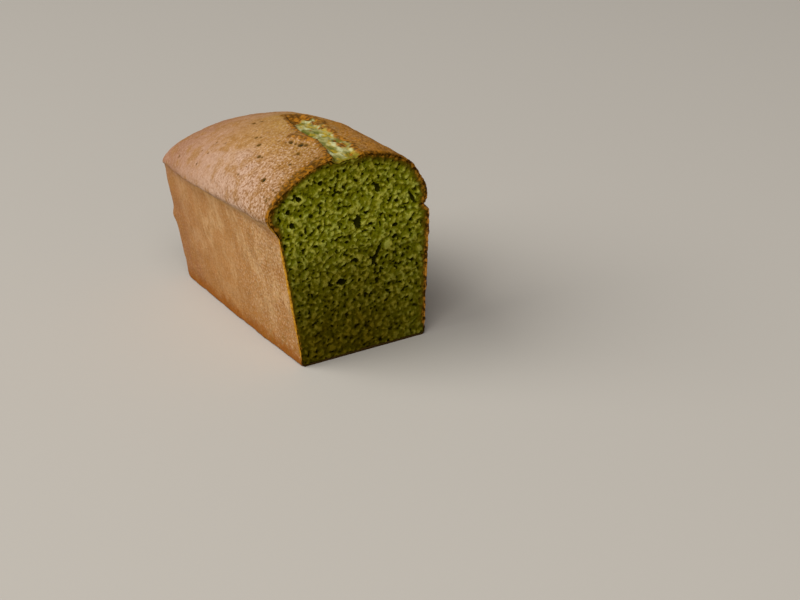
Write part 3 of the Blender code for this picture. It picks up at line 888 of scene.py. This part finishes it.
# The browned edge of the crumb, in millimetres: at the base, on the walls, and on the left and
# right of the crown, where it narrows under the brow, and between which heights it changes.
BROWNED_AT_BASE, BROWNED_BASE_LEVEL, BROWNED_BASE_RISE = 0.4, 2.0 * MM, 6.0 * MM
BROWNED_LEFT, BROWNED_RIGHT = 1.8, 2.8
BROWNED_CROWN_LEFT, BROWNED_CROWN_RIGHT = 3.6, 3.3
BROWNED_CROWN_LEVEL, BROWNED_CROWN_RISE = 60.0 * MM, 12.0 * MM
BROWNED_NARROWING, BROWNED_BROW_START, BROWNED_BROW_RUN = 1.2, -36.0 * MM, 9.0 * MM

# Large air holes: place across and up, size across and up, in millimetres, and lean in degrees.
AirHole = namedtuple("AirHole", "x z width height lean")
AIR_HOLES = (
    AirHole(12.0, 76.0, 2.6, 4.6, -8.0), AirHole(1.2, 62.2, 3.6, 7.0, 4.0),
    AirHole(-15.6, 84.0, 2.6, 2.2, 0.0), AirHole(-32.1, 74.1, 2.4, 2.8, 20.0),
    AirHole(-30.8, 67.6, 2.6, 3.0, -20.0), AirHole(9.5, 44.7, 2.2, 12.5, 29.0),
    AirHole(-9.0, 35.9, 5.2, 3.2, 10.0), AirHole(29.3, 67.8, 1.6, 6.0, -25.0),
    AirHole(19.8, 56.6, 3.0, 2.0, 10.0), AirHole(19.4, 51.2, 3.2, 2.0, -10.0),
    AirHole(-26.6, 79.0, 2.8, 2.2, 35.0),
)
AIR_HOLE_DEPTH = 2.6 * MM
AIR_HOLE_RAGGED = 0.2


def cut_outline():
    """The outline of the cut, as points across and up, all the way round."""
    steps_up = [step / OUTLINE_STEPS_UP for step in range(OUTLINE_STEPS_UP + 1)]
    left = [wall_point(LEFT, share, 0.0) for share in steps_up]
    crown = [crown_point(step / OUTLINE_STEPS_PER_COLUMN, 0.0)
             for step in range(1, OUTLINE_STEPS_PER_COLUMN * COLUMNS)]
    right = [wall_point(RIGHT, share, 0.0) for share in reversed(steps_up)]
    return np.array([tuple(point) for point in left + crown + right])


def outline_distances(points, outline):
    """How far points lie inside a closed outline, negative outside, and its nearest points."""
    start, end = outline, np.roll(outline, -1, axis=0)
    run = end - start
    length = (run ** 2).sum(1) + SPECK_OF_LENGTH
    distances = np.empty(len(points))
    nearest = np.empty((len(points), 2))
    for first in range(0, len(points), POINTS_AT_ONCE):
        block = points[first:first + POINTS_AT_ONCE]
        offset = block[:, None, :] - start[None]
        share = np.clip((offset * run).sum(2) / length, 0.0, 1.0)
        foot = start[None] + share[..., None] * run[None]
        gap = ((block[:, None, :] - foot) ** 2).sum(2)
        best = gap.argmin(1)
        rows = np.arange(len(block))
        x, z = block[:, None, 0], block[:, None, 1]
        crossing = (start[None, :, 1] > z) != (end[None, :, 1] > z)
        with np.errstate(divide="ignore", invalid="ignore"):
            where = start[None, :, 0] + (z - start[None, :, 1]) * run[None, :, 0] / run[None, :, 1]
        inside = (crossing & (x < where)).sum(1) % 2 == 1
        distances[first:first + POINTS_AT_ONCE] = (
            np.sqrt(gap[rows, best]) * np.where(inside, 1.0, -1.0))
        nearest[first:first + POINTS_AT_ONCE] = foot[rows, best]
    return distances, nearest


def blurred(field, reach, step):
    """A grid's values smoothed over a distance, by way of their frequencies."""
    across = np.fft.fftfreq(field.shape[0], step[0])[:, None]
    up = np.fft.rfftfreq(field.shape[1], step[1])[None]
    fade = np.exp(-2.0 * (math.pi * reach) ** 2 * (across ** 2 + up ** 2))
    return np.fft.irfft2(np.fft.rfft2(field) * fade, s=field.shape)


def crumb_depths(across, up, step):
    """How deep the cut lies on a grid: soft lumps and grains, open pores, and the large air
    holes, which are also given on their own as shares of their depth."""
    draw = np.random.default_rng(CRUMB_SEED)

    def rough(reach):
        field = blurred(draw.standard_normal((len(across), len(up))), reach, step)
        return field / field.std()

    grains = rough(GRAIN_REACH)
    pores = rough(PORE_REACH) + PORE_RAGGED * rough(PORE_RAGGED_REACH)
    opened = np.clip((pores - PORE_START) / (PORE_FULL - PORE_START), 0.0, 1.0)
    depth = CRUMB_SAG + LUMP_HEIGHT * rough(LUMP_REACH) + GRAIN_HEIGHT * grains
    depth += PORE_DEPTH * opened ** 2 * (3.0 - 2.0 * opened)
    x, z = np.meshgrid(across, up, indexing="ij")
    hollow = np.zeros_like(depth)
    for hole in AIR_HOLES:
        right, above, lean = x - hole.x * MM, z - hole.z * MM, math.radians(hole.lean)
        wide = (right * math.cos(lean) - above * math.sin(lean)) / (hole.width / 2.0 * MM)
        tall = (above * math.cos(lean) + right * math.sin(lean)) / (hole.height / 2.0 * MM)
        ragged = 1.0 + AIR_HOLE_RAGGED * grains
        inside = np.clip(1.0 - (wide ** 2 + tall ** 2) * ragged, 0.0, 1.0)
        hollow = np.maximum(hollow, np.sqrt(inside))
    return np.maximum(depth, AIR_HOLE_DEPTH * hollow), hollow


def browned_width(x, z):
    """How wide the browned edge of the crumb is: wide on the right, narrow under the brow
    beside the tear, and next to nothing along the base."""
    under_crown = smooth_step((z - BROWNED_CROWN_LEVEL) / BROWNED_CROWN_RISE)
    above_base = smooth_step((z - BROWNED_BASE_LEVEL) / BROWNED_BASE_RISE)
    if x < 0.0:
        under_brow = smooth_step((x - BROWNED_BROW_START) / BROWNED_BROW_RUN)
        on_crown = BROWNED_CROWN_LEFT - BROWNED_NARROWING * under_brow
        width = blend(BROWNED_LEFT, on_crown, under_crown)
    else:
        width = blend(BROWNED_RIGHT, BROWNED_CROWN_RIGHT, under_crown)
    return blend(BROWNED_AT_BASE, width, above_base) * MM


def make_cut_crumb(material):
    """The slab of crumb: a grid trimmed to the outline of the cut, pushed in by its relief, and
    closed by a wall and a back in the crust's hollow."""
    outline = cut_outline()
    low, high = outline.min(0), outline.max(0)
    counts = np.ceil((high - low) / CRUMB_CELL).astype(int)
    step = (high - low) / counts
    mesh = bmesh.new()
    place = Matrix.Translation(((low[0] + high[0]) / 2.0, 0.0, (low[1] + high[1]) / 2.0))
    stand = Matrix.Rotation(math.pi / 2.0, 4, "X")
    size = Matrix.Diagonal(((high[0] - low[0]) / 2.0, (high[1] - low[1]) / 2.0, 1.0, 1.0))
    bmesh.ops.create_grid(mesh, x_segments=int(counts[0]), y_segments=int(counts[1]), size=1.0,
                          matrix=place @ stand @ size)
    points = np.array([(vert.co.x, vert.co.z) for vert in mesh.verts])
    distances, _ = outline_distances(points, outline)
    outside = [vert for vert, distance in zip(mesh.verts, distances) if distance < CRUMB_MARGIN]
    bmesh.ops.delete(mesh, geom=outside, context="VERTS")
    alone = [vert for vert in mesh.verts if not vert.link_faces]
    bmesh.ops.delete(mesh, geom=alone, context="VERTS")

    depths, hollow = crumb_depths(low[0] + step[0] * np.arange(counts[0] + 1),
                                  low[1] + step[1] * np.arange(counts[1] + 1), step)
    # How far a point stands above the crumb around it, and lower still in the air holes: it drives
    # painted light on the tops and painted shade in the pores and holes.
    raised = (blurred(depths, CAVITY_REACH, step) + CRUMB_SAG) / 2.0 - depths - hollow * MM
    raised_light_and_shade_layer = mesh.verts.layers.float.new("raised")
    rim_layer = mesh.verts.layers.float.new("rim")
    points = np.array([(vert.co.x, vert.co.z) for vert in mesh.verts])
    distances, nearest = outline_distances(points, outline)
    cells = np.rint((points - low) / step).astype(int)
    for vert, distance, foot, (column, row) in zip(mesh.verts, distances, nearest, cells):
        x, z = vert.co.x, vert.co.z
        rim = 1.0 - distance / browned_width(x, z)
        under_tear = tear_share(x, 0.0) if z > SECTION_MIDDLE else 0.0
        loose = blend(FIRM_SHARE, 1.0, smooth_step((z - FIRM_LEVEL) / FIRM_FADE))
        loose = max(loose, smooth_step(HOLE_FADE * hollow[column, row]))
        depth = depths[column, row] * loose * blend(1.0, RIM_SHARE, smooth_step(rim + RIM_FADE))
        depth = max(depth, CRUMB_AT_RIM if vert.is_boundary else -CRUMB_PROUD)
        vert[raised_light_and_shade_layer] = raised[column, row] / MM
        vert[rim_layer] = blend(rim, min(rim, RIM_UNDER_TEAR), under_tear)
        if vert.is_boundary:
            edge = Vector((foot[0], foot[1]))
            x, z = edge + (Vector((x, z)) - edge).normalized() * CRUMB_MARGIN
        vert.co = (x, depth - BASE_LENGTH / 2.0, z)

    rim = [edge for edge in mesh.edges if edge.is_boundary]
    walls = bmesh.ops.extrude_edge_only(mesh, edges=rim)["geom"]
    for vert in (item for item in walls if isinstance(item, bmesh.types.BMVert)):
        vert.co.x *= CRUMB_TAPER
        vert.co.z = blend(SECTION_MIDDLE, vert.co.z, CRUMB_TAPER)
        vert.co.y = CRUMB_BACK - BASE_LENGTH / 2.0
    rim = [edge for edge in mesh.edges if edge.is_boundary]
    bmesh.ops.holes_fill(mesh, edges=rim)
    bmesh.ops.triangulate(mesh, faces=mesh.faces)
    bmesh.ops.recalc_face_normals(mesh, faces=mesh.faces)
    return make_object("crumb", mesh, material)


# Paints of the crumb, and the tones that go over them.
# The hollow paint is painted shade, near black in the pores and holes; the raised paint is painted
# light on the crumb's tops.
CRUMB_HOLLOW_PAINTED_SHADE, CRUMB_GREEN = (0.024, 0.023, 0.0005), (0.165, 0.166, 0.0035)
CRUMB_RAISED_PAINTED_LIGHT = (0.46, 0.45, 0.07)
TONE_COOL, TONE_WARM = (0.94, 0.99, 1.1), (1.05, 1.01, 0.85)
# The dense tone is partly a denser crumb and partly painted shade towards the base.
TONE_DENSE_AND_SHADED, TONE_UNDER_CROWN = (0.33, 0.25, 0.09), (0.65, 0.58, 0.25)
CRUMB_BESIDE_RIM = (0.085, 0.060, 0.002)
CRUMB_RIM_DARK, CRUMB_RIM_LIGHT = (0.055, 0.022, 0.001), (0.34, 0.15, 0.012)
CRUMB_COLOUR = (0.20, 0.19, 0.02)
CRUMB_SHINE = 0.0
CRUMB_ROUGHNESS = 0.95
CRUMB_BUMP = 0.12 * MM


def crumb_finish():
    """The paint of the crumb. Places in it are in metres from the middle of the base."""
    paint = Finish("green crumb", CRUMB_COLOUR, CRUMB_SHINE)
    across, up = paint.axis("X"), paint.axis("Z")
    grain = paint.noise(0.6 * MM, detail=2.0)
    patch = paint.noise(2.8 * MM, detail=2.0)
    cloud = paint.noise(6.0 * MM, detail=2.0)
    tint = paint.noise(2.2 * MM, detail=2.0)
    granule = paint.noise(1.9 * MM, detail=3.0)
    raised = paint.attribute("raised") + grain.strayed(0.5) + patch.strayed(0.9)
    raised = raised + cloud.strayed(0.4)
    # Painted shade darkens the pores and holes, and painted light makes the raised tops pale.
    colour = paint.mix(paint.step(raised, -0.95, -0.1), CRUMB_HOLLOW_PAINTED_SHADE, CRUMB_GREEN)
    colour = paint.mix(paint.step(raised, -0.1, 0.8), colour, CRUMB_RAISED_PAINTED_LIGHT)

    # Cooler and warmer patches; darker towards the base and on the left, partly a denser crumb and
    # partly painted shade; and a little darker under the crown.
    level = up + cloud.strayed(0.02)
    # Darker towards the base, less so on the right: partly a denser crumb, partly painted shade.
    dense_and_shaded = paint.fade(level, 0.040, 0.064) * 0.60 + paint.fade(level, 0.008, 0.050) * 0.40
    colour = paint.coated(
        colour,
        (paint.fade(tint, 0.38, 0.50), TONE_COOL),
        (paint.step(tint, 0.50, 0.62), TONE_WARM),
        (dense_and_shaded * (1.0 - paint.step(across, 0.0, 0.03) * 0.25), TONE_DENSE_AND_SHADED),
        (paint.step(level, 0.076, 0.090) * 0.5, TONE_UNDER_CROWN),
        kind="MULTIPLY",
    )

    # Browned towards the crust.
    ragged = paint.attribute("rim") + paint.noise(1.6 * MM, detail=3.0).strayed(1.2)
    browned = paint.mix(paint.step(granule, 0.42, 0.58), CRUMB_RIM_DARK, CRUMB_RIM_LIGHT)
    colour = paint.coated(colour, (paint.step(ragged, -0.6, 0.25), CRUMB_BESIDE_RIM),
                          (paint.step(ragged, 0.1, 0.6), browned))
    return paint.finish(colour, CRUMB_ROUGHNESS, grain, CRUMB_BUMP)


crumb = make_cut_crumb(crumb_finish())
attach(crumb, "root")
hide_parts("pound_cake_loaf")

# ---- Floor and light
# A plain pale table, one broad soft light from behind on the left, a weaker one from in front
# and above, and a faint even fill.
TABLE_SIZE = 16.0
TABLE_COLOUR, TABLE_SHADE_COLOUR = (0.46, 0.43, 0.385), (0.40, 0.37, 0.33)
TABLE_SHADE, TABLE_SHADE_GRAIN = 0.06, 250.0 * MM
TABLE_SHINE = 0.3
TABLE_ROUGHNESS = 0.7
TABLE_BUMP = 0.1 * MM
SKY_COLOUR = (0.95, 0.97, 1.0)
SKY_STRENGTH = 0.12
Lamp = namedtuple("Lamp", "name power size place colour")
LAMPS = (
    Lamp("key light", 186.0, 3.6, (-2.76, 1.32, 3.0), (1.0, 0.98, 0.95)),
    Lamp("front light", 72.0, 2.4, (-1.2, -1.9, 2.6), (1.0, 0.98, 0.96)),
)

table_mesh = bmesh.new()
bmesh.ops.create_grid(table_mesh, x_segments=1, y_segments=1, size=TABLE_SIZE / 2.0)
table_paint = Finish("pale table", TABLE_COLOUR, TABLE_SHINE)
table_cloud = table_paint.noise(TABLE_SHADE_GRAIN, detail=1.0)
table_colour = table_paint.mix(table_cloud * TABLE_SHADE, TABLE_COLOUR, TABLE_SHADE_COLOUR)
table_finish = table_paint.finish(table_colour, TABLE_ROUGHNESS, table_cloud, TABLE_BUMP)
table = make_object("table", table_mesh, table_finish)

for lamp in LAMPS:
    light = bpy.data.lights.new(lamp.name, "AREA")
    light.energy = lamp.power
    light.size = lamp.size
    light.color = lamp.colour
    stand = bpy.data.objects.new(lamp.name, light)
    stand.location = lamp.place
    stand.rotation_euler = (-Vector(lamp.place)).to_track_quat("-Z", "Y").to_euler()
    bpy.context.scene.collection.objects.link(stand)

sky = bpy.data.worlds.new("sky")
sky.use_nodes = True
sky.node_tree.nodes["Background"].inputs["Color"].default_value = SKY_COLOUR + (1.0,)
sky.node_tree.nodes["Background"].inputs["Strength"].default_value = SKY_STRENGTH
bpy.context.scene.world = sky
bpy.context.scene.view_settings.view_transform = "Standard"
